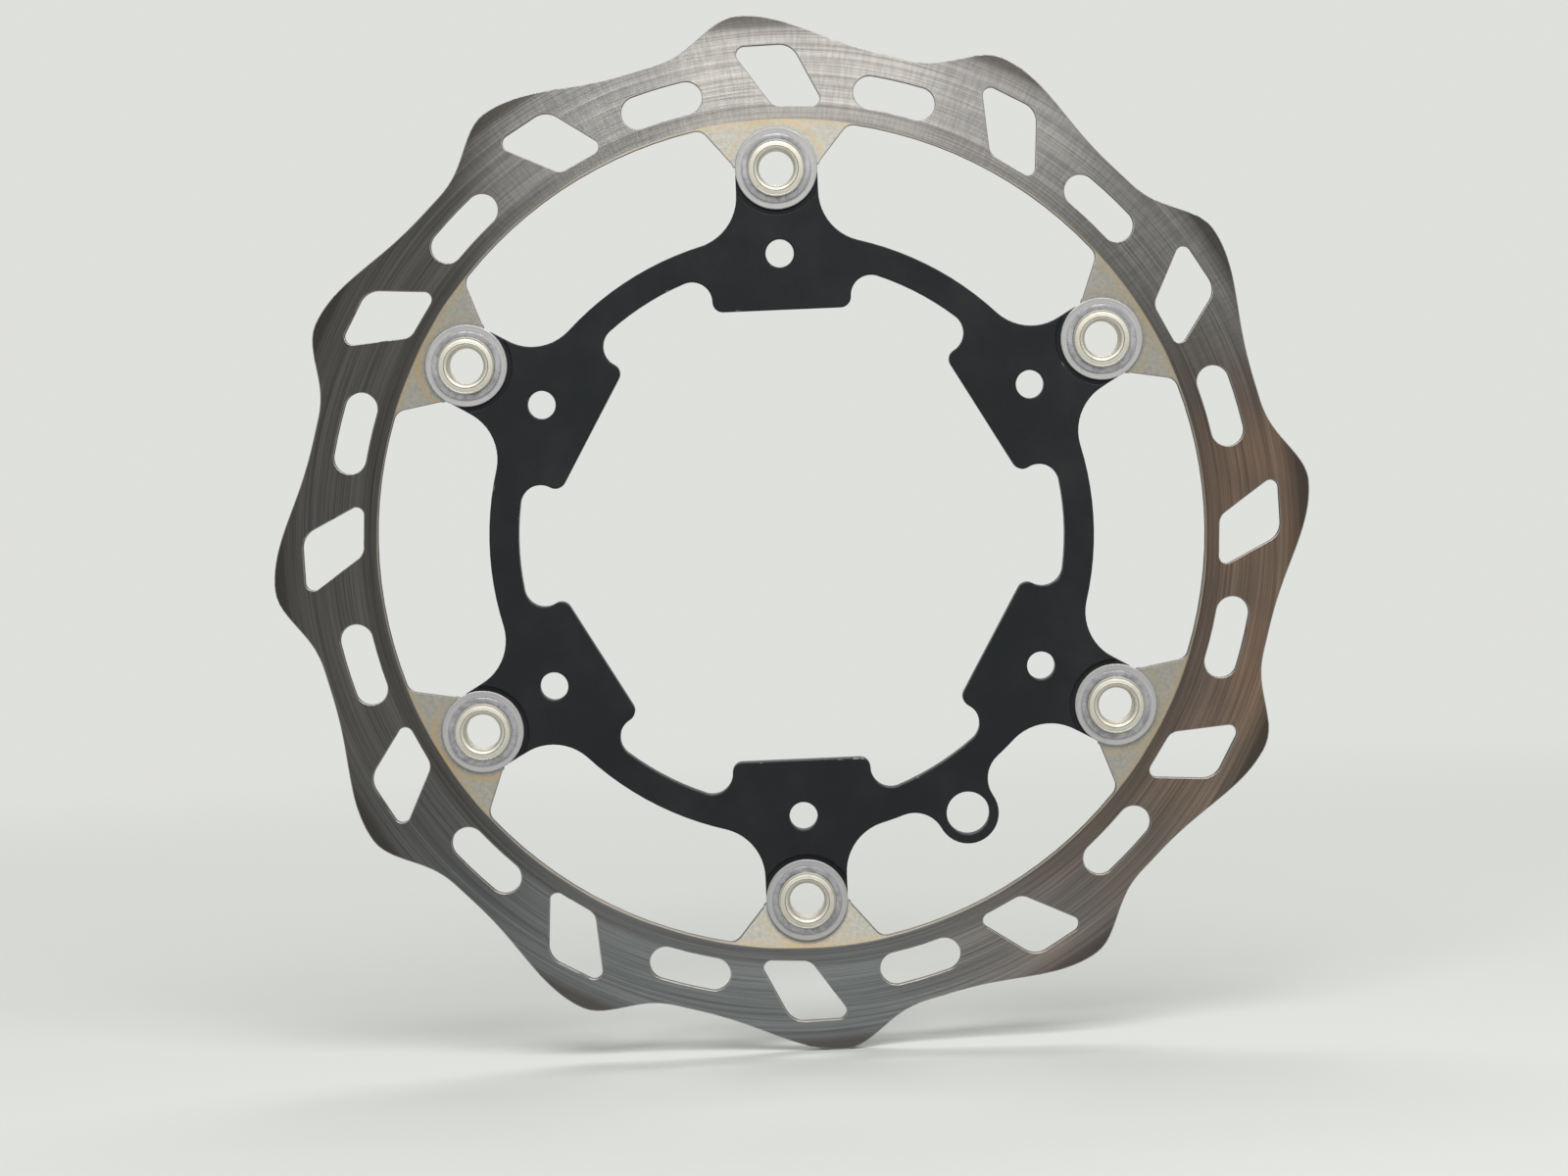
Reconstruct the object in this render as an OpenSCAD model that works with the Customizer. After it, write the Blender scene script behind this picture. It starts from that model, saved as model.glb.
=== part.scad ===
// Floating brake disc for a light motorcycle wheel. A waved stainless ring is carried by
// hollow bobbins on a black aluminium spider, which bolts to six ears on the hub.
// The disc stands upright: its axis is Y, the side that meets the hub faces -Y, and the
// origin is the centre of the hub's bolt circle, on the face that meets the hub.

/* [Brake ring] */
// Diameter over the tips of the waves
ring_od = 203; // [198:1:245]
// Thickness of the ring
ring_t = 2.3; // [1.8:0.1:3]
// Width of the friction band, from its inner edge out to the wave tips
band_w = 20.7; // [20:0.1:24]

/* [Waves] */
// Waves between one button and the next
waves_per_button = 2; // [1, 2]
// Radial depth of a wave
wave_depth = 6.4; // [2:0.1:7]
// Degrees from the line of a button to the wave tip beside it
wave_tip = 3.7; // [0:0.1:8]
// Degrees from the bottom of a wave up its long side to the tip
wave_rise = 19.3; // [15:0.1:22]
// How long the bottom of a wave stays flat, where 1 is a plain cosine
wave_ease = 1.3; // [1:0.1:2]

/* [Windows] */
// Steel left between the inner edge of the band and a window
window_rim = 2.8; // [2:0.1:5]
// Steel left between a window and the circle of the wave tips
window_cover = 6; // [5:0.1:9]
// Inner corner on the long side: degrees from the button line, corner radius
window_tail = [-5.1, 1.5]; // [-8:0.1:8]
// Inner corner on the steep side: degrees from the button line, corner radius
window_toe = [-0.9, 2.8]; // [-8:0.1:8]
// Outer corner under the tip: degrees from the button line, corner radius
window_peak = [3.2, 1.6]; // [-8:0.1:8]
// Outer shoulder on the long side: degrees from the button line, corner radius
window_shoulder = [-0.9, 4]; // [-8:0.1:8]

/* [Slots] */
// Width of a slot
slot_w = 6.4; // [4:0.1:8]
// Steel left between the inner edge of the band and a slot
slot_rim = 3.5; // [2:0.1:6]
// Degrees between the centres of a slot's round ends
slot_sweep = 6.4; // [2:0.1:8]

/* [Tabs] */
// Distance from the inner edge of the band in to the centre of a button
tab_reach = 9.3; // [8:0.1:12]
// Width of a tab where it meets its button
tab_w = 17.2; // [15:0.1:22]
// Slope of a tab's flanks, in degrees from the line across the tab
tab_flank = 50; // [40:1:75]
// Radius of the corner between a tab and the band
tab_fillet = 2.5; // [1:0.1:5]

/* [Carrier] */
// Thickness of the spider plate
carrier_t = 4; // [3:0.1:6]
// Width of the rim that joins the pads
rim_w = 5.7; // [4:0.1:8]
// Width of an arm
arm_w = 16; // [14:0.1:20]
// Radius of the corner between an arm and the rim
arm_fillet = 10; // [3:0.1:11]

/* [Hub bolts] */
// Diameter of the hub's bolt circle
bolt_pcd = 110; // [90:0.5:114]
// Diameter of a bolt hole
bolt_d = 5.5; // [4.5:0.1:7]
// Metal between the bolt circle and the outer edge of the rim
bolt_edge = 4; // [3.5:0.1:6]
// Distance from the bolt circle to the inner end of a pad
pad_depth = 11; // [10.8:0.1:14]
// Width of a pad
pad_w = 27; // [20:0.5:32]
// Radius of the corner between a pad and the rim
pad_fillet = 4; // [1:0.1:5]
// Radius of a pad's inner corners
pad_tip_fillet = 2; // [0.5:0.1:3]

/* [Sensor lug] */
// Diameter of the hole for a wheel-speed magnet
lug_hole_d = 8.4; // [5:0.1:10]
// Wall around the hole
lug_wall = 1.8; // [1.2:0.1:4]
// Distance from the edge of the rim to the centre of the hole
lug_reach = 5.4; // [4.5:0.1:7]
// Radius of the corner between the lug and the rim
lug_fillet = 6; // [2:0.1:8]
// Degrees from the top arm round to the lug
lug_angle = -150; // [-150, -90, -30, 30, 90, 150]

/* [Buttons] */
// Number of buttons, arms, pads and bolts
button_count = 6; // [6]
// Diameter of a bobbin's barrel
barrel_d = 10.4; // [9:0.1:12.4]
// Diameter of the hole through a bobbin
bore_d = 6.8; // [4:0.1:8]
// Diameter of the flange behind the ring
flange_d = 15.6; // [14:0.1:18]
// Thickness of the flange
flange_t = 1.2; // [0.8:0.1:2]
// How far the swaged lip stands out round the barrel
lip_w = 0.4; // [0.3:0.1:1]
// Thickness of the swaged lip
lip_t = 0.8; // [0.5:0.1:1.5]
// Chamfer on the edges of a bobbin
edge_break = 0.3; // [0.1:0.1:0.4]

/* [Washers] */
// Width of the flat washer's face
washer_w = 2.6; // [2:0.1:4]
// Thickness of the flat washer
washer_t = 0.6; // [0.4:0.1:1]
// Width of the wave washer's face
spring_w = 1.3; // [0.8:0.1:2]
// Thickness of the wave washer's strip
spring_t = 0.3; // [0.2:0.05:0.4]
// Height that the wave washer is squeezed to
spring_h = 0.64; // [0.5:0.01:1]
// Number of waves round the wave washer
spring_waves = 3; // [3:1:5]

/* [Fits] */
// Radial gap round a barrel in the cups of the ring and the carrier
running_gap = 0.06; // [0.03:0.01:0.1]
// Radial gap between a washer and its barrel
washer_gap = 0.2; // [0.1:0.05:0.2]
// Gap on each face of the ring, which lets it float along the axis
float_gap = 0.2; // [0.2:0.05:0.3]
// Gap between the end of a tab and the end of its arm
split_gap = 0.8; // [0.6:0.1:1.5]
// Radius of the corners on those ends
corner_r = 0.8; // [0.3:0.1:1.5]
// Room round a washer or a flange in its spot face on the arm
spot_gap = 0.9; // [0.5:0.1:2]
// Gap between the pieces stacked on a barrel
stack_gap = 0.03; // [0.02:0.01:0.05]

/* [Hidden] */
$fn = 96;
cut = 1;                 // how far a cutting or joining shape runs past a face
bite = 0.004;            // how far a round crosses what it blends into, to meet it cleanly
spread = 360 / button_count;
stainless = [0.36, 0.33, 0.31];
black_anodised = [0.10, 0.11, 0.12];
bright_steel = [0.74, 0.72, 0.66];
washer_steel = [0.60, 0.60, 0.61];
spring_steel = [0.36, 0.37, 0.41];

// Brake ring
tip_r = ring_od / 2;
band_r = tip_r - band_w;
valley_r = tip_r - wave_depth;
wave_pitch = spread / waves_per_button;
wave_bottom = wave_tip - wave_rise;
window_inner_r = band_r + window_rim;
window_outer_r = tip_r - window_cover;
slot_r = band_r + slot_rim + slot_w / 2;
outline_step = 0.75;     // degrees between the points of the waved edge

// Carrier
button_r = band_r - tab_reach;
bolt_r = bolt_pcd / 2;
rim_r = bolt_r + bolt_edge;
rim_inner_r = rim_r - rim_w;
pad_r = bolt_r - pad_depth;
lug_r = rim_r + lug_reach;
lug_outer_r = lug_hole_d / 2 + lug_wall;

// Along the axis, counted from the face that meets the hub towards the hub
ring_mid = -carrier_t / 2;
ring_top = ring_mid + ring_t / 2;
ring_bottom = ring_mid - ring_t / 2;
flange_top = ring_bottom - float_gap;
washer_bottom = ring_top + float_gap;
spring_bottom = washer_bottom + washer_t + stack_gap;
lip_bottom = spring_bottom + spring_h + stack_gap;
lip_top = lip_bottom + lip_t;

// Fits
barrel_r = barrel_d / 2;
cup_r = barrel_r + running_gap;
washer_hole_r = barrel_r + washer_gap;
washer_r = washer_hole_r + washer_w;
spring_r = washer_hole_r + spring_w;
spot_r = max(washer_r, flange_d / 2) + spot_gap;

// A point at radius r, a degrees anticlockwise from the line of the top arm
function from_arm(r, a) = [-r * sin(a), r * cos(a)];

// Radius of the waved edge, a degrees anticlockwise from the line of an arm: a long
// flank up to each tip and a steep one down
function wave_part(a) =
    let (p = (a - wave_bottom) - wave_pitch * floor((a - wave_bottom) / wave_pitch))
    p < wave_rise ? p / wave_rise : (wave_pitch - p) / (wave_pitch - wave_rise);
function wave_r(a) =
    valley_r + wave_depth * (1 - cos(180 * pow(wave_part(a), wave_ease))) / 2;

module round_each(n = button_count) {
    for (i = [0:n - 1]) rotate(i * 360 / n) children();
}

module both_sides() {
    children();
    mirror([1, 0]) children();
}

// A closed outline drawn round a list of corner circles [x, y, radius], anticlockwise
module round_corners(corners) {
    last = len(corners) - 1;
    polygon([for (i = [0:last])
        let (a = corners[i], b = corners[i == last ? 0 : i + 1],
             dx = b[0] - a[0], dy = b[1] - a[1],
             turn = atan2(dy, dx) - acos((a[2] - b[2]) / norm([dx, dy])),
             out = [cos(turn), sin(turn)])
        each [[a[0], a[1]] + a[2] * out, [b[0], b[1]] + b[2] * out]]);
    for (c = corners) translate([c[0], c[1]]) circle(c[2] + bite);
}

// A foot that runs to a circle of radius r about the origin and flares into it through
// fillets of radius f. Its far end, at end_y, is half * 2 wide, with corners of radius g.
// Its right flank runs along d, towards the circle, and n points away from the foot.
// side is 1 for a foot outside the circle and -1 for one inside it
module flared_foot(half, end_y, g, d, n, r, f, side) {
    nose = [for (t = [0:15:90]) [half - g + g * sin(t), end_y - side * g * (1 - cos(t))]];
    inset = f - bite;
    across = nose[len(nose) - 1] * n + inset;
    reach = r + side * inset;
    centre = across * n + sqrt(reach * reach - across * across) * d;
    root = centre * (r - side * cut) / reach;
    // The middle of the root follows the circle, outside it for a foot inside the circle
    middle = [0, side > 0 ? root[1] : root * root / root[1]];
    flank = concat(nose, [centre - inset * n, centre, root]);
    first = [for (p = flank) [-side * p[0], p[1]]];
    second = [for (i = [len(flank) - 1:-1:0]) [side * flank[i][0], flank[i][1]]];
    difference() {
        // Anticlockwise, whichever way the foot points
        polygon(concat(first, [middle], second));
        both_sides() translate(centre) circle(f);
    }
}

// Stands a flat drawing upright, with its top face towards -Y
module upright() {
    rotate([90, 0, 0]) children();
}

// Ring

module window() {
    inner = [for (c = [window_tail, window_toe])
        concat(from_arm(window_inner_r + c[1], c[0]), c[1])];
    outer = [for (c = [window_peak, window_shoulder])
        concat(from_arm(window_outer_r - c[1], c[0]), c[1])];
    // Anticlockwise as seen from the hub: steep side first, then back over the shoulder
    round_corners([inner[0], outer[1], outer[0], inner[1]]);
}

module slot() {
    half = slot_sweep / 2;
    difference() {
        circle(slot_r + slot_w / 2);
        circle(slot_r - slot_w / 2);
        // Everything but the wedge between the two round ends
        polygon(concat([[0, 0]], [for (a = [half:30:360 - half]) from_arm(ring_od, a)],
                       [from_arm(ring_od, -half)]));
    }
    for (a = [-half, half]) translate(from_arm(slot_r, a)) circle(slot_w / 2 + bite);
}

module tab() {
    flared_foot(tab_w / 2, button_r + split_gap / 2, corner_r,
                [cos(tab_flank), sin(tab_flank)], [sin(tab_flank), -cos(tab_flank)],
                band_r, tab_fillet, -1);
}

module brake_ring_outline() {
    difference() {
        union() {
            difference() {
                polygon([for (a = [0:outline_step:360 - outline_step])
                    from_arm(wave_r(a), a)]);
                circle(band_r);
            }
            round_each() tab();
        }
        round_each(button_count * waves_per_button) {
            window();
            rotate(wave_bottom) slot();
        }
        round_each() translate([0, button_r]) circle(cup_r);
    }
}

module brake_ring() {
    color(stainless) upright() translate([0, 0, ring_bottom])
        linear_extrude(ring_t) brake_ring_outline();
}

// Carrier

module arm() {
    flared_foot(arm_w / 2, button_r - split_gap / 2, corner_r,
                [0, 1], [1, 0], rim_r, arm_fillet, 1);
}

module pad() {
    flared_foot(pad_w / 2, pad_r, pad_tip_fillet,
                [0, 1], [1, 0], rim_inner_r, pad_fillet, -1);
}

module lug() {
    reach = rim_r + lug_fillet - bite;
    gap = lug_outer_r + lug_fillet - bite;
    angle = acos((reach * reach + lug_r * lug_r - gap * gap) / (2 * reach * lug_r));
    hub_side = from_arm(rim_r - cut, 0);
    lug_centre = from_arm(lug_r, 0);
    translate(lug_centre) circle(lug_outer_r);
    both_sides() difference() {
        polygon([lug_centre, hub_side, from_arm(rim_r - cut, -angle), from_arm(reach, -angle)]);
        translate(from_arm(reach, -angle)) circle(lug_fillet);
    }
}

module carrier_outline() {
    difference() {
        union() {
            difference() {
                circle(rim_r);
                circle(rim_inner_r);
            }
            round_each() {
                arm();
                pad();
            }
            rotate(lug_angle) lug();
        }
        round_each() {
            translate([0, bolt_r]) circle(bolt_d / 2);
            translate([0, button_r]) circle(cup_r);
        }
        translate(from_arm(lug_r, lug_angle)) circle(lug_hole_d / 2);
    }
}

// The arm ends are spot-faced on both sides to the thickness of the ring
module carrier() {
    color(black_anodised) upright() difference() {
        translate([0, 0, -carrier_t]) linear_extrude(carrier_t) carrier_outline();
        round_each() translate([0, button_r]) {
            translate([0, 0, ring_top]) cylinder(r = spot_r, h = carrier_t);
            translate([0, 0, ring_bottom - carrier_t]) cylinder(r = spot_r, h = carrier_t);
        }
    }
}

// Buttons

// Stands a turned piece on the axis of button i, counted clockwise from the top
module at_button(i) {
    upright() rotate((1 - i) * spread) translate([0, button_r]) children();
}

module bobbin(i) {
    e = edge_break;
    b = bore_d / 2;
    f = flange_d / 2;
    l = barrel_r + lip_w;
    foot = flange_top - flange_t;
    color(bright_steel) at_button(i) rotate_extrude()
        polygon([[b + e, foot], [f - e, foot], [f, foot + e], [f, flange_top - e / 2],
                 [f - e / 2, flange_top], [barrel_r, flange_top], [barrel_r, lip_bottom],
                 [l, lip_bottom], [l, lip_top - e], [l - e, lip_top], [b + e, lip_top],
                 [b, lip_top - e], [b, foot + e]]);
}

module flat_washer(i) {
    color(washer_steel) at_button(i) translate([0, 0, washer_bottom])
        difference() {
            cylinder(r = washer_r, h = washer_t);
            translate([0, 0, -cut]) cylinder(r = washer_hole_r, h = washer_t + 2 * cut);
        }
}

// A thin strip bent into waves: four corners at each station round the ring
module wave_washer(i) {
    stations = 48;
    rise = (spring_h - spring_t) / 2;
    middle = spring_bottom + spring_h / 2;
    corners = [[washer_hole_r, -spring_t / 2], [spring_r, -spring_t / 2],
               [spring_r, spring_t / 2], [washer_hole_r, spring_t / 2]];
    points = [for (s = [0:stations - 1], c = corners)
        let (a = s * 360 / stations)
        [c[0] * cos(a), c[0] * sin(a), middle + c[1] + rise * sin(spring_waves * a)]];
    faces = [for (s = [0:stations - 1], c = [0:3])
        let (next = (s + 1) % stations, e = (c + 1) % 4)
        each [[4 * s + c, 4 * s + e, 4 * next + e], [4 * s + c, 4 * next + e, 4 * next + c]]];
    color(spring_steel) at_button(i) polyhedron(points, faces);
}

brake_ring();
carrier();
for (i = [1:button_count]) {
    bobbin(i);
    flat_washer(i);
    wave_washer(i);
}
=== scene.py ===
# Floating brake disc for a light motorcycle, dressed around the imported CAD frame. A waved
# stainless ring hangs on six buttons round a black aluminium spider, and each button is a
# hollow bobbin with a flat washer and a wave washer under its swaged lip.
import math
import bmesh
import bpy
from mathutils import Matrix, Vector


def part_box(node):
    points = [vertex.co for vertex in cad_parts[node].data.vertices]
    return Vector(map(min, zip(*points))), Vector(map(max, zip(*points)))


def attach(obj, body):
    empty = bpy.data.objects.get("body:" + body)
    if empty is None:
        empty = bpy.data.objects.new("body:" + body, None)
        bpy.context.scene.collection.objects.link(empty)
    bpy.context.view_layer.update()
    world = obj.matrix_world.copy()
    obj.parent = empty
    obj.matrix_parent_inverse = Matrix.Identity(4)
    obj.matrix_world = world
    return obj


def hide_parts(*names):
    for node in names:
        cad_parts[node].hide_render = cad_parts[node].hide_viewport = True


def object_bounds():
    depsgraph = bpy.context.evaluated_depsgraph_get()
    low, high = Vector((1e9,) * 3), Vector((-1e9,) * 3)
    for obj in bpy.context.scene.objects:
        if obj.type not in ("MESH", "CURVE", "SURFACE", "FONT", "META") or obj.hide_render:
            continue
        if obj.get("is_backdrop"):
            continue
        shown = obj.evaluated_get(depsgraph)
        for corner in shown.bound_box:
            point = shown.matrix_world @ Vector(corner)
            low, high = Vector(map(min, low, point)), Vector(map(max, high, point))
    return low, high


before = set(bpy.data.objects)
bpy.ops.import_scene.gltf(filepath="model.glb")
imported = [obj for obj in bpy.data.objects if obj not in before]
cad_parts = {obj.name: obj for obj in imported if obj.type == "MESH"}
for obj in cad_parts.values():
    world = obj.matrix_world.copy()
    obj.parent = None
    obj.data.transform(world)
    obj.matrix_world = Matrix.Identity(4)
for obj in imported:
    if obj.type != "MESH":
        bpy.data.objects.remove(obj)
cad_low, cad_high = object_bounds()


# ---- Brake ring ------------------------------------------------------------------------
# Laser-cut from 2.3 mm hardened stainless sheet and ground flat. The pads have rubbed the
# band into fine rings, from its inner margin nearly to the tips of the waves. The tabs keep
# a pale matt finish, and the cut edges are brown, with their burr broken.

MM = 0.001
RING_EDGE = 0.16 * MM          # how far the burr is broken
SLIVER = 0.06 * MM             # shorter edges of a CAD mesh are closed up
COPLANAR = math.radians(0.3)
CORNER = math.radians(40)      # sharper outside edges than this are broken
EDGE_STEPS = 2                 # facets across a broken edge
FLAT_FIRST = 90                # how strongly the large faces set the shading normals


def feed(tree, socket, value):
    """Links a socket to another one, or sets it to a plain value."""
    if isinstance(value, bpy.types.NodeSocket):
        tree.links.new(value, socket)
    else:
        socket.default_value = value


def put(tree, kind, inputs=None, **settings):
    """Adds a node. inputs takes each socket's name to its value, or to what feeds it."""
    made = tree.nodes.new("ShaderNode" + kind)
    for name, value in settings.items():
        setattr(made, name, value)
    for name, value in (inputs or {}).items():
        feed(tree, made.inputs[name], value)
    return made


def maths(tree, operation, *values):
    """One Math node on these values."""
    return put(tree, "Math", dict(enumerate(values)), operation=operation).outputs[0]


def ease(tree, value, low, high, start=0.0, end=1.0):
    """start where value is under low, end where it is over high, and smooth between."""
    return put(tree, "MapRange", {"Value": value, "From Min": low, "From Max": high,
                                  "To Min": start, "To Max": end},
               interpolation_type="SMOOTHSTEP").outputs["Result"]


def tinted(tree, amount, under, over, how="MIX"):
    """Colour over laid on colour under by amount."""
    under, over = (colour if isinstance(colour, bpy.types.NodeSocket) else (*colour, 1)
                   for colour in (under, over))
    # A colour Mix node has its factor at 0, its two colours at 6 and 7, and its result at 2
    return put(tree, "Mix", {0: amount, 6: under, 7: over}, data_type="RGBA",
               blend_type=how).outputs[2]


def speckle(tree, vector, scale, detail=2.0, rough=0.55):
    """Noise from 0 to 1, with about scale patches to the unit."""
    return put(tree, "TexNoise", {"Vector": vector, "Scale": scale, "Detail": detail,
                                  "Roughness": rough}).outputs["Fac"]


def group(name, inputs, outputs):
    """An empty shader group with these sockets, and its two ends."""
    tree = bpy.data.node_groups.new(name, "ShaderNodeTree")
    for sockets, way in ((inputs, "INPUT"), (outputs, "OUTPUT")):
        for socket, kind in sockets.items():
            tree.interface.new_socket(name=socket, in_out=way,
                                      socket_type="NodeSocket" + kind)
    return tree, tree.nodes.new("NodeGroupInput").outputs, \
        tree.nodes.new("NodeGroupOutput").inputs


def effect(tree, of, inputs):
    """Places a shared group in a material and gives its outputs."""
    return put(tree, "Group", inputs, node_tree=of).outputs


# Fine marks that run round an axis along Y, as a lathe or a pair of brake pads leaves them.
# Position is in millimetres from that axis, Lines is how many marks there are to a
# millimetre, and Reach is how soon a mark changes round the circle. Each kind of mark has
# its own share of Lines and Reach: fine lines, wider bands, and marks across them
ring_marks, take, give = group(
    "ring_marks", {"Position": "Vector", "Lines": "Float", "Reach": "Float"},
    {"Lines": "Float", "Bands": "Float", "Across": "Float"})
parts = put(ring_marks, "SeparateXYZ", {0: take["Position"]}).outputs
flat = put(ring_marks, "CombineXYZ", {"X": parts["X"], "Z": parts["Z"]}).outputs[0]
radius = put(ring_marks, "VectorMath", {0: flat}, operation="LENGTH").outputs["Value"]
heading = put(ring_marks, "VectorMath", {0: flat}, operation="NORMALIZE").outputs[0]
for mark, lines, reach, detail in (("Lines", 1.0, 1.0, 3.0), ("Bands", 0.2, 0.12, 2.0),
                                   ("Across", 0.08, 70.0, 2.0)):
    step = maths(ring_marks, "MULTIPLY", radius,
                 maths(ring_marks, "MULTIPLY", take["Lines"], lines))
    rise = put(ring_marks, "CombineXYZ", {"Y": step}).outputs[0]
    turn = maths(ring_marks, "MULTIPLY", take["Reach"], reach)
    around = put(ring_marks, "VectorMath", {0: heading, "Scale": turn},
                 operation="SCALE").outputs[0]
    where = put(ring_marks, "VectorMath", {0: around, 1: rise}, operation="ADD").outputs[0]
    level = speckle(ring_marks, where, 1.0, detail, 0.6)
    ring_marks.links.new(ease(ring_marks, level, 0.3, 0.7), give[mark])

# Bright metal where an edge has rubbed. Edge is 1 on the narrow faces of a broken edge, and
# Amount is from 0, hardly anywhere, to 1, nearly everywhere along it
rubbed_edge, take, give = group(
    "rubbed_edge", {"Edge": "Float", "Position": "Vector", "Scale": "Float",
                    "Amount": "Float"}, {"Wear": "Float"})
patchy = speckle(rubbed_edge, take["Position"], take["Scale"], 3.0, 0.6)
least = maths(rubbed_edge, "SUBTRACT", 0.8, maths(rubbed_edge, "MULTIPLY",
                                                  take["Amount"], 0.6))
rubbed = ease(rubbed_edge, patchy, least, maths(rubbed_edge, "ADD", least, 0.12))
rubbed_edge.links.new(maths(rubbed_edge, "MULTIPLY", rubbed, take["Edge"]), give["Wear"])


def start_metal(name, anisotropy=0.0, turn=0.0, specular=0.5):
    """A new material, its tree and shader, and the place on the piece in millimetres."""
    made = bpy.data.materials.new(name)
    made.use_nodes = True
    tree = made.node_tree
    shader = tree.nodes["Principled BSDF"]
    shader.inputs["Anisotropic"].default_value = anisotropy
    shader.inputs["Anisotropic Rotation"].default_value = turn
    shader.inputs["Specular IOR Level"].default_value = specular
    place = put(tree, "Mapping", {"Vector": put(tree, "TexCoord").outputs["Object"],
                                  "Scale": (1 / MM, 1 / MM, 1 / MM)}).outputs[0]
    return made, tree, shader, place


def finish_metal(tree, shader, colour, metallic, roughness, height, depth_mm):
    """Feeds the shader; height lifts the surface by up to depth_mm."""
    lifted = put(tree, "Bump", {"Height": height, "Strength": 1.0,
                                "Distance": depth_mm * MM}).outputs[0]
    for name, value in (("Base Color", colour), ("Metallic", metallic),
                        ("Roughness", roughness), ("Normal", lifted)):
        feed(tree, shader.inputs[name], value)


GROOVED_SPREAD = 0.97          # how much wider a highlight is across the grooves
ACROSS_GROOVES = 0.25          # a quarter turn from the tangent that runs round the disc
BAND_START = 81.2              # radius in mm where the pads' track begins
INNER_STRIP = 84.2             # the track is duller out to here, mm
BAND_END = 99.2                # and ends here, short of the wave tips, mm
BUTTONS = 6
BUTTON_R = 71.5                # radius of the circle of buttons, mm
DUST_LINE = 9.4                # radius of the brown line round each washer, mm
SCRATCH_DEPTH = 0.012          # mm
SMUDGES = 0.035                # large patches to the mm
MATT_GRAIN = 1.4               # spots of the matt finish to the mm
CUT_MARKS = (5.0, 0.4, 5.0)    # marks of the cut to the mm, drawn out through the sheet
HEAT_AND_REFLECTION_RIGHT = (10.0, 85.0)          # how far right the heat tint, with its painted warm reflection, starts and is full, mm
HEAT_AND_REFLECTION_TOP = (0.0, 45.0)         # the heights between which it fades out
COOLED = (-30.0, -80.0)        # the heights between which the cool cast comes in
HIGHLIGHT_LEFT = (-66.0, -50.0)    # left edge of the painted highlight on the upper arc
HIGHLIGHT_FOOT = (20.0, 52.0)      # and its lower end
PEAK_HIGHLIGHT_AT = 6.0              # middle of the brightest part of that arc
PEAK_HIGHLIGHT_EDGE = (19.0, 31.0)   # and how far to each side it reaches
POLISHED = (0.160, 0.153, 0.148)
GROOVED = (0.071, 0.068, 0.066)
# heat tint on the right that also paints a warm reflection there
HEAT_AND_REFLECTION_TINT = (2.30, 1.62, 1.21)
COOL_TINT = (1.05, 1.15, 1.20)
# painted highlight on the upper arc, and the brighter painted peak in its middle
HIGHLIGHT_TINT = (2.20, 2.22, 2.20)
PEAK_HIGHLIGHT_TINT = (1.34, 1.33, 1.29)
TIP_BROWN = (0.058, 0.052, 0.046)
PALE_MATT = (0.456, 0.439, 0.386)
GOLDEN = (0.526, 0.392, 0.213)
LASER_BROWN = (0.132, 0.110, 0.091)
BARE_STEEL = (0.310, 0.299, 0.282)

ring_steel, tree, shader, place = start_metal("worn_ring_steel", GROOVED_SPREAD,
                                              ACROSS_GROOVES)
tree.links.new(put(tree, "Tangent", direction_type="RADIAL", axis="Y").outputs[0],
               shader.inputs["Tangent"])
axes = put(tree, "SeparateXYZ", {0: place}).outputs
plan = put(tree, "CombineXYZ", {"X": axes["X"], "Z": axes["Z"]}).outputs[0]
radius = put(tree, "VectorMath", {0: plan}, operation="LENGTH").outputs["Value"]
marks = effect(tree, ring_marks, {"Position": place, "Lines": 3.2, "Reach": 2.2})
scratches = effect(tree, ring_marks, {"Position": place, "Lines": 7.0, "Reach": 9.0})
smudge = speckle(tree, place, SMUDGES, 3.0)

# The polished track: a heat tint on one side that also paints a warm reflection there, a
# cooler cast low down, and a painted highlight on the upper arc, broken up by marks across
# the grooves
polish = maths(tree, "ADD", maths(tree, "MULTIPLY", marks["Lines"], 0.60),
               maths(tree, "MULTIPLY", marks["Bands"], 0.35))
track = tinted(tree, polish, GROOVED, POLISHED)
# Heat tint on the right side, partly a painted warm reflection
warm = maths(tree, "MULTIPLY", ease(tree, axes["X"], *HEAT_AND_REFLECTION_RIGHT),
             ease(tree, smudge, 0.3, 0.7, 0.4, 1.0))
warm = maths(tree, "MULTIPLY", warm, ease(tree, axes["Z"], *HEAT_AND_REFLECTION_TOP, 1.0, 0.0))
track = tinted(tree, warm, track, HEAT_AND_REFLECTION_TINT, "MULTIPLY")
low_down = ease(tree, axes["Z"], *COOLED)
track = tinted(tree, low_down, track, COOL_TINT, "MULTIPLY")
# Painted highlight: brightens the upper arc, broken up by the marks across the grooves,
# with a brighter painted peak in its middle
high_up = maths(tree, "MULTIPLY", ease(tree, axes["X"], *HIGHLIGHT_LEFT),
                ease(tree, axes["Z"], *HIGHLIGHT_FOOT))
painted_highlight = maths(tree, "MULTIPLY", high_up,
              ease(tree, marks["Across"], 0.0, 1.0, 0.70, 1.0))
track = tinted(tree, painted_highlight, track, HIGHLIGHT_TINT, "MULTIPLY")
off_middle = maths(tree, "ABSOLUTE", maths(tree, "SUBTRACT", axes["X"], PEAK_HIGHLIGHT_AT))
painted_peak_highlight = maths(tree, "MULTIPLY", high_up,
                 ease(tree, off_middle, *PEAK_HIGHLIGHT_EDGE, 1.0, 0.0))
track = tinted(tree, painted_peak_highlight, track, PEAK_HIGHLIGHT_TINT, "MULTIPLY")
inner_strip = ease(tree, radius, INNER_STRIP - 0.4, INNER_STRIP + 0.4, 0.30, 0.0)
track = tinted(tree, inner_strip, track, TIP_BROWN)
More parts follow.
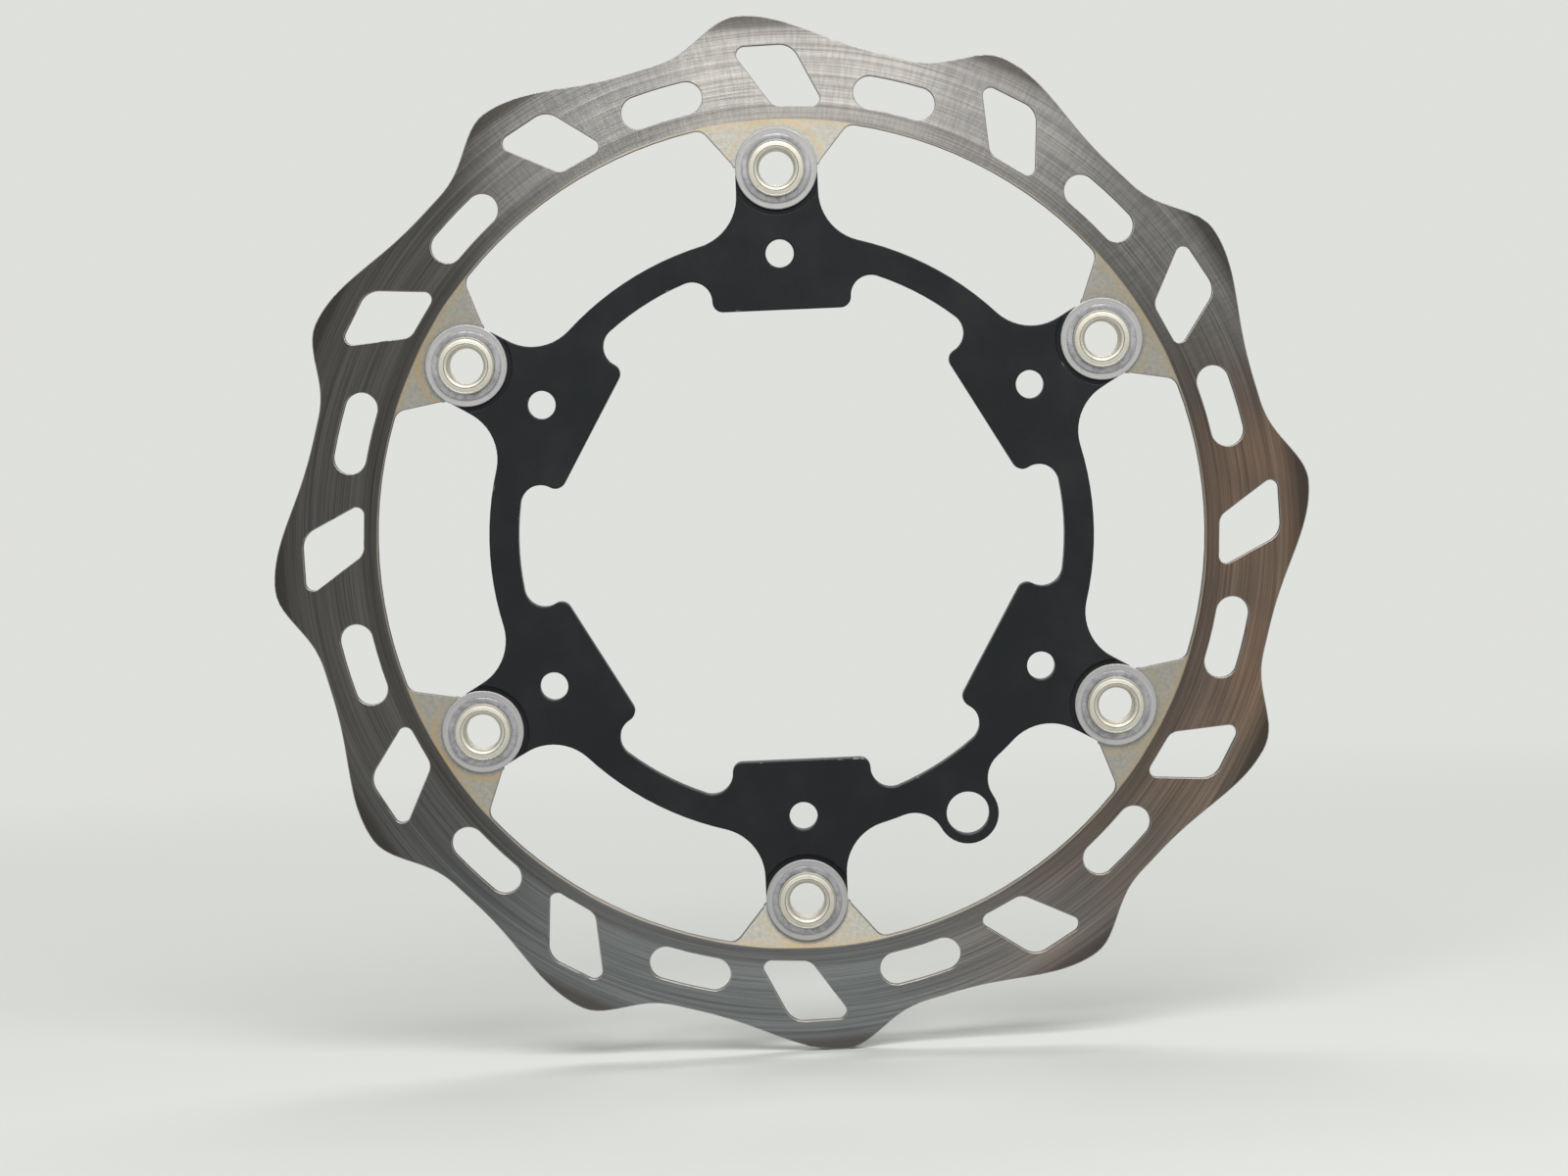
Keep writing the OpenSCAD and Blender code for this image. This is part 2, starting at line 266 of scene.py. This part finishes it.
past_pads = ease(tree, maths(tree, "ADD", radius, maths(tree, "MULTIPLY", smudge, 1.5)),
                 BAND_END - 1.2, BAND_END + 1.6, 0.0, 0.8)
track = tinted(tree, past_pads, track, TIP_BROWN)

# The matt tabs. Folding the disc into sixths gives the distance from the nearest button
angle = maths(tree, "ARCTAN2", axes["Z"], axes["X"])
sixth = 2 * math.pi / BUTTONS
folded = maths(tree, "SUBTRACT", maths(tree, "FLOORED_MODULO", angle, sixth), sixth / 2)
along = maths(tree, "SUBTRACT", maths(tree, "MULTIPLY", radius,
                                      maths(tree, "COSINE", folded)), BUTTON_R)
beside = maths(tree, "MULTIPLY", radius, maths(tree, "SINE", folded))
from_button = maths(tree, "SQRT", maths(tree, "ADD", maths(tree, "MULTIPLY", along, along),
                                        maths(tree, "MULTIPLY", beside, beside)))
fine_noise = speckle(tree, place, MATT_GRAIN, 3.0)
mottled = ease(tree, fine_noise, 0.3, 0.75, 0.0, 0.22)
matt = tinted(tree, mottled, PALE_MATT, GROOVED)
dust_line = maths(tree, "MULTIPLY",
                  ease(tree, maths(tree, "ABSOLUTE", maths(tree, "SUBTRACT", from_button,
                                                           DUST_LINE)), 0.15, 0.8, 0.75, 0),
                  ease(tree, smudge, 0.4, 0.6, 0.25, 1.0))
matt = tinted(tree, dust_line, matt, GOLDEN)
margin = ease(tree, radius, BAND_START - 2.2, BAND_START - 0.3, 0.0, 0.40)
matt = tinted(tree, margin, matt, GOLDEN)
worn = ease(tree, maths(tree, "ADD", radius, maths(tree, "MULTIPLY", smudge, 0.8)),
            BAND_START + 0.05, BAND_START + 0.45)
face = tinted(tree, worn, matt, track)

# The cut edges, and the rubbed corners between them and the faces
normal = tree.nodes["Texture Coordinate"].outputs["Normal"]
facing = put(tree, "SeparateXYZ", {0: normal}).outputs["Y"]
cut_edge = ease(tree, maths(tree, "ABSOLUTE", facing), 0.35, 0.6, 1.0, 0.0)
drag = put(tree, "Mapping", {"Vector": place, "Scale": CUT_MARKS}).outputs[0]
cut_lines = speckle(tree, drag, 1.0, 2.0)
cut_colour = tinted(tree, ease(tree, cut_lines, 0.3, 0.7, 0.0, 0.6), LASER_BROWN, GROOVED)
colour = tinted(tree, cut_edge, face, cut_colour)
edge = put(tree, "Attribute", attribute_name="edge").outputs["Fac"]
wear = effect(tree, rubbed_edge, {"Edge": edge, "Position": place, "Scale": 0.25,
                                  "Amount": 0.8})["Wear"]
colour = tinted(tree, wear, colour, BARE_STEEL)

on_face = maths(tree, "SUBTRACT", 1.0, cut_edge)
on_track = maths(tree, "MULTIPLY", worn, on_face)
metallic = ease(tree, on_track, 0.0, 1.0, 0.65, 1.0)
roughness = ease(tree, on_track, 0.0, 1.0, 0.50, 0.37)
roughness = maths(tree, "ADD", roughness, ease(tree, scratches["Lines"], 0.0, 1.0,
                                               -0.05, 0.07))
on_matt = maths(tree, "SUBTRACT", on_face, on_track)
height = maths(tree, "MULTIPLY", scratches["Lines"], on_track)
for texture, where, share in ((fine_noise, on_matt, 0.9), (cut_lines, cut_edge, 0.3)):
    part = maths(tree, "MULTIPLY", texture, maths(tree, "MULTIPLY", where, share))
    height = maths(tree, "ADD", height, part)
finish_metal(tree, shader, colour, metallic, roughness, height, SCRATCH_DEPTH)


def broken_plate(node, broken):
    """A copy of a CAD plate with its outside edges broken, marked in the edge attribute."""
    plate = bmesh.new()
    plate.from_mesh(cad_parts[node].data)
    edge = plate.faces.layers.float.new("edge")
    bmesh.ops.remove_doubles(plate, verts=plate.verts, dist=SLIVER)
    bmesh.ops.dissolve_limit(plate, angle_limit=COPLANAR, verts=plate.verts,
                             edges=plate.edges, use_dissolve_boundaries=False)
    corners = [e for e in plate.edges
               if e.is_manifold and e.calc_face_angle_signed() > CORNER]
    strip = bmesh.ops.bevel(plate, geom=corners, offset=broken, offset_type="OFFSET",
                            affect="EDGES", segments=EDGE_STEPS, profile=0.5, material=-1,
                            clamp_overlap=False)
    for f in strip["faces"]:
        f[edge] = 1.0
    return plate


def make_piece(plate, name, finish, body, slot, *replaced):
    """Turns a bmesh into a finished piece of the disc."""
    for f in plate.faces:
        f.smooth = True
    mesh = bpy.data.meshes.new(name)
    plate.to_mesh(mesh)
    plate.free()
    mesh.materials.append(finish)
    piece = bpy.data.objects.new(name, mesh)
    bpy.context.scene.collection.objects.link(piece)
    # Keeps the flat faces flat, so that only the narrow corners turn the light
    corners = piece.modifiers.new("corners", "WEIGHTED_NORMAL")
    corners.mode = "FACE_AREA"
    corners.weight = FLAT_FIRST
    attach(piece, body)
    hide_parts(*replaced)
    return piece


make_piece(broken_plate("brake_ring", RING_EDGE), "brake_ring_worn", ring_steel,
           "ring", "ring_steel", "brake_ring")


# ---- Carrier ---------------------------------------------------------------------------
# The spider, milled from 4 mm aluminium plate, with a chamfer round every edge and spot
# faces at the arm ends for the washers. It is bead-blasted and black anodised, and the
# dye has rubbed thin on some of the corners.

CARRIER_EDGE = 0.28 * MM       # width of the chamfer
CLOUDS = 0.06                  # dusty patches to the mm
BLASTED = 5.0                  # dimples of the blasting to the mm
BLACK = (0.0068, 0.0084, 0.0104)
DUSTY = (0.021, 0.0205, 0.020)
BARE_ALUMINIUM = (0.20, 0.205, 0.21)

anodised, tree, shader, place = start_metal("black_anodised", specular=0.20)
cloud = speckle(tree, place, CLOUDS, 4.0, 0.6)
grain = speckle(tree, place, BLASTED)
colour = tinted(tree, ease(tree, cloud, 0.42, 0.8, 0.0, 0.55), BLACK, DUSTY)
edge = put(tree, "Attribute", attribute_name="edge").outputs["Fac"]
wear = effect(tree, rubbed_edge, {"Edge": edge, "Position": place, "Scale": 0.3,
                                  "Amount": 0.3})["Wear"]
colour = tinted(tree, wear, colour, BARE_ALUMINIUM)
roughness = maths(tree, "ADD", ease(tree, cloud, 0.3, 0.7, 0.40, 0.52),
                  ease(tree, grain, 0.3, 0.7, -0.04, 0.04))
finish_metal(tree, shader, colour, ease(tree, wear, 0.0, 1.0, 0.0, 0.9), roughness,
             grain, 0.02)
make_piece(broken_plate("carrier", CARRIER_EDGE), "carrier_anodised", anodised,
           "spider", "black_anodised", "carrier")


# ---- Buttons ---------------------------------------------------------------------------
# Six buttons carry the ring. Each bobbin is turned from steel bar and plated a pale warm
# nickel; its flange sits behind the ring, and in front its end is swaged over into a
# rounded lip that holds the two washers on. One section is spun, then set on each axis.

STEPS = 96                     # round a turned piece
WELD = 0.0005 * MM             # points of a turned piece closer than this are one
BORE = 3.4 * MM
BARREL = 5.2 * MM
FLANGE = 7.8 * MM
LIP = 5.6 * MM
FLANGE_T = 1.2 * MM
LIP_T = 0.8 * MM
FLANGE_ROUND = 0.35 * MM
UNDERCUT_ROUND = 0.18 * MM
LIP_CROWN = 0.75 * MM          # the lip rolls over from its rim to its front across this
BORE_MOUTH = 0.45 * MM         # and down into the bore across this
PLATED = (0.570, 0.553, 0.484)
PLATED_DULL = (0.422, 0.393, 0.325)


def rounded(corners, arc=5):
    """The points of a closed section, from its corners as (radius, depth, rounding)."""
    points = []
    for i, (r, y, rounding) in enumerate(corners):
        corner = Vector((r, y))
        before = Vector(corners[i - 1][:2]) - corner
        after = Vector(corners[(i + 1) % len(corners)][:2]) - corner
        if not rounding:
            points.append(corner)
            continue
        for step in range(arc + 1):
            t = step / arc
            first = corner + before.normalized() * rounding * (1 - t)
            second = corner + after.normalized() * rounding * t
            points.append(first.lerp(second, t))
    return points


def turn_section(points):
    """Spins a closed section of (radius, depth) round Y and keeps its own frame."""
    turned = bmesh.new()
    loop = [turned.verts.new((p[0], p[1], 0)) for p in points]
    edges = [turned.edges.new((a, b)) for a, b in zip(loop, loop[1:] + loop[:1])]
    bmesh.ops.spin(turned, geom=loop + edges, cent=(0, 0, 0), axis=(0, 1, 0),
                   dvec=(0, 0, 0), angle=2 * math.pi, steps=STEPS, use_merge=True,
                   use_duplicate=False)
    bmesh.ops.remove_doubles(turned, verts=turned.verts, dist=WELD)
    bmesh.ops.recalc_face_normals(turned, faces=turned.faces)
    turned.faces.layers.float.new("edge")
    return turned


def set_on_button(turned, number):
    """A copy of a turned piece on the axis of a button, with where it was turned kept."""
    low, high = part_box(f"bobbin_{number}")
    centre = (low + high) / 2
    copy = turned.copy()
    kept = copy.verts.layers.float_vector.new("turned")
    for v in copy.verts:
        v[kept] = v.co / MM
    bmesh.ops.translate(copy, verts=copy.verts, vec=(centre.x, 0, centre.z))
    return copy


low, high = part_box("bobbin_1")
back, front = high.y, low.y
under_flange = back - FLANGE_T
over_lip = front + LIP_T
bobbin = turn_section(rounded([
    (BORE, back, FLANGE_ROUND), (FLANGE, back, FLANGE_ROUND),
    (FLANGE, under_flange, UNDERCUT_ROUND), (BARREL, under_flange, 0),
    (BARREL, over_lip, 0), (LIP, over_lip, 0.12 * MM),
    (LIP, front + 0.25 * MM, 0.3 * MM), (LIP - LIP_CROWN, front, 0.55 * MM),
    (BORE + BORE_MOUTH, front, 0.5 * MM), (BORE, front + 2 * BORE_MOUTH, 0.3 * MM)]))

plated, tree, shader, place = start_metal("plated_bobbin")
turned_at = put(tree, "Attribute", attribute_name="turned").outputs["Vector"]
marks = effect(tree, ring_marks, {"Position": turned_at, "Lines": 6.0, "Reach": 0.8})
cloud = speckle(tree, place, 0.5, 3.0)
colour = tinted(tree, ease(tree, marks["Lines"], 0.0, 1.0, 0.0, 0.35), PLATED, PLATED_DULL)
colour = tinted(tree, ease(tree, cloud, 0.45, 0.75, 0.0, 0.45), colour, PLATED_DULL)
roughness = ease(tree, cloud, 0.3, 0.7, 0.46, 0.56)
finish_metal(tree, shader, colour, 0.65, roughness, marks["Lines"], 0.006)
for number in range(1, BUTTONS + 1):
    make_piece(set_on_button(bobbin, number), f"bobbin_plated_{number}", plated,
               f"button_{number}", "bobbin_steel", f"bobbin_{number}")


# ---- Flat washers ----------------------------------------------------------------------
# Stamped from stainless strip: the punch has rolled the edge over on one face, and the face
# that shows is satin, with a faint polish where it turns against the ring.

WASHER_HOLE = 5.4 * MM
WASHER = 8.0 * MM
ROLLED = 0.2 * MM
SATIN = (0.422, 0.416, 0.416)
SATIN_DARK = (0.274, 0.268, 0.274)

low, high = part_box("flat_washer_1")
flat_washer = turn_section(rounded([
    (WASHER_HOLE, low.y, ROLLED), (WASHER_HOLE, high.y, ROLLED / 4),
    (WASHER, high.y, ROLLED / 4), (WASHER, low.y, ROLLED)]))
satin, tree, shader, place = start_metal("satin_washer")
turned_at = put(tree, "Attribute", attribute_name="turned").outputs["Vector"]
marks = effect(tree, ring_marks, {"Position": turned_at, "Lines": 4.0, "Reach": 1.5})
cloud = speckle(tree, place, 0.6, 3.0)
colour = tinted(tree, ease(tree, marks["Bands"], 0.0, 1.0, 0.0, 0.35), SATIN, SATIN_DARK)
colour = tinted(tree, ease(tree, cloud, 0.5, 0.8, 0.0, 0.5), colour, SATIN_DARK)
finish_metal(tree, shader, colour, 0.75, ease(tree, cloud, 0.3, 0.7, 0.42, 0.54),
             marks["Lines"], 0.008)
for number in range(1, BUTTONS + 1):
    make_piece(set_on_button(flat_washer, number), f"flat_washer_satin_{number}", satin,
               f"button_{number}", "washer_steel", f"flat_washer_{number}")


# ---- Wave washers ----------------------------------------------------------------------
# The springs that keep the buttons from rattling: a narrow ring of hardened blue-grey strip
# pressed into three waves, between the flat washer and the lip.

SPRING = 6.7 * MM
STRIP = 0.3 * MM
STRIP_ROUND = 0.07 * MM
SPRING_WAVES = 3
HARDENED = (0.410, 0.405, 0.422)
HARDENED_DARK = (0.251, 0.247, 0.268)

low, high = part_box("wave_washer_1")
middle = (low.y + high.y) / 2
lift = (high.y - low.y - STRIP) / 2
wave_washer = turn_section(rounded([
    (WASHER_HOLE, middle - STRIP / 2, STRIP_ROUND),
    (WASHER_HOLE, middle + STRIP / 2, STRIP_ROUND),
    (SPRING, middle + STRIP / 2, STRIP_ROUND),
    (SPRING, middle - STRIP / 2, STRIP_ROUND)], 2))
for v in wave_washer.verts:
    v.co.y += lift * math.sin(SPRING_WAVES * math.atan2(v.co.z, v.co.x))
hardened, tree, shader, place = start_metal("hardened_spring")
cloud = speckle(tree, place, 0.8, 3.0)
colour = tinted(tree, ease(tree, cloud, 0.35, 0.7), HARDENED, HARDENED_DARK)
finish_metal(tree, shader, colour, 0.9, ease(tree, cloud, 0.3, 0.7, 0.3, 0.42), cloud, 0.01)
for number in range(1, BUTTONS + 1):
    make_piece(set_on_button(wave_washer, number), f"wave_washer_spring_{number}", hardened,
               f"button_{number}", "spring_steel", f"wave_washer_{number}")


# ---- Floor, light and camera -----------------------------------------------------------
# A plain pale floor under the lowest wave that runs out into an even pale background, two
# large soft lamps, one high in front and one high behind, and the camera on the hub's side.

PALE = (0.74, 0.75, 0.725)
FLOOR_PAINT = (0.668, 0.680, 0.655)
FLOOR_SIZE = 6.0
FLOOR_NEAR = 0.30              # metres from the disc where the plain background takes over
FLOOR_FAR = 0.75
WORLD_LEVEL = 0.25

floor_mesh = bmesh.new()
bmesh.ops.create_grid(floor_mesh, x_segments=2, y_segments=2, size=FLOOR_SIZE / 2)
bmesh.ops.translate(floor_mesh, verts=floor_mesh.verts, vec=(0, 0, cad_low.z))
mesh = bpy.data.meshes.new("floor")
floor_mesh.to_mesh(mesh)
floor_mesh.free()
floor = bpy.data.objects.new("floor", mesh)
bpy.context.scene.collection.objects.link(floor)
floor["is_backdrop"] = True

floor_paint = bpy.data.materials.new("pale_floor")
floor_paint.use_nodes = True
tree = floor_paint.node_tree
tree.nodes.remove(tree.nodes["Principled BSDF"])
spot = put(tree, "TexCoord").outputs["Object"]
distance = put(tree, "VectorMath", {0: spot}, operation="LENGTH").outputs["Value"]
rays = put(tree, "LightPath").outputs
seen = maths(tree, "MAXIMUM", rays["Is Camera Ray"],
             maths(tree, "MAXIMUM", rays["Is Glossy Ray"], rays["Is Transmission Ray"]))
away = maths(tree, "MULTIPLY", ease(tree, distance, FLOOR_NEAR, FLOOR_FAR), seen)
lit = put(tree, "BsdfDiffuse", {"Color": (*FLOOR_PAINT, 1)}).outputs[0]
plain = put(tree, "Emission", {"Color": (*PALE, 1)}).outputs[0]
both = put(tree, "MixShader", {0: away, 1: lit, 2: plain}).outputs[0]
tree.links.new(both, tree.nodes["Material Output"].inputs["Surface"])
mesh.materials.append(floor_paint)

world = bpy.data.worlds.new("studio")
bpy.context.scene.world = world
world.use_nodes = True
tree = world.node_tree
rays = put(tree, "LightPath").outputs
seen = maths(tree, "MAXIMUM", rays["Is Camera Ray"],
             maths(tree, "MAXIMUM", rays["Is Glossy Ray"], rays["Is Transmission Ray"]))
level = ease(tree, seen, 0.0, 1.0, WORLD_LEVEL, 1.0)
backdrop = tree.nodes["Background"]
backdrop.inputs["Color"].default_value = (*PALE, 1)
tree.links.new(level, backdrop.inputs["Strength"])


def soft_lamp(name, place, size, power):
    """A rectangular lamp that looks at the middle of the disc."""
    lamp = bpy.data.lights.new(name, "AREA")
    lamp.shape = "RECTANGLE"
    lamp.size, lamp.size_y = size
    lamp.energy = power
    holder = bpy.data.objects.new(name, lamp)
    holder.location = place
    holder.rotation_euler = (-Vector(place)).to_track_quat("-Z", "Y").to_euler()
    bpy.context.scene.collection.objects.link(holder)


LAMP_SIZE = (1.2, 0.6)         # metres
soft_lamp("key", (0.09, -0.90, 0.85), LAMP_SIZE, 17.0)
soft_lamp("rear", (0.0, 0.80, 0.95), LAMP_SIZE, 8.5)

LENS = 100.0                   # mm, on a 36 mm wide sensor
SENSOR = 36.0
VIEW_WIDTH = 0.3064            # metres across the picture, at the disc
DISC_OFF_CENTRE = (0.0015, 0.0103)   # the disc's centre, right of and above the middle
LOOK_DOWN = math.radians(2.8)
DISC_ROLL = math.radians(2.45)

camera_data = bpy.data.cameras.new("camera")
camera_data.lens = LENS
camera_data.sensor_width = SENSOR
camera = bpy.data.objects.new("camera", camera_data)
bpy.context.scene.collection.objects.link(camera)
bpy.context.scene.camera = camera
back_off = VIEW_WIDTH * LENS / SENSOR
aim = Matrix.Rotation(math.pi / 2 - LOOK_DOWN, 4, "X") @ Matrix.Rotation(-DISC_ROLL, 4, "Z")
middle = Vector((0, (cad_low.y + cad_high.y) / 2, 0))
camera.matrix_world = Matrix.Translation(middle) @ aim @ Matrix.Translation(
    (-DISC_OFF_CENTRE[0], -DISC_OFF_CENTRE[1], back_off))

bpy.context.scene.view_settings.view_transform = "Standard"

low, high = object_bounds()
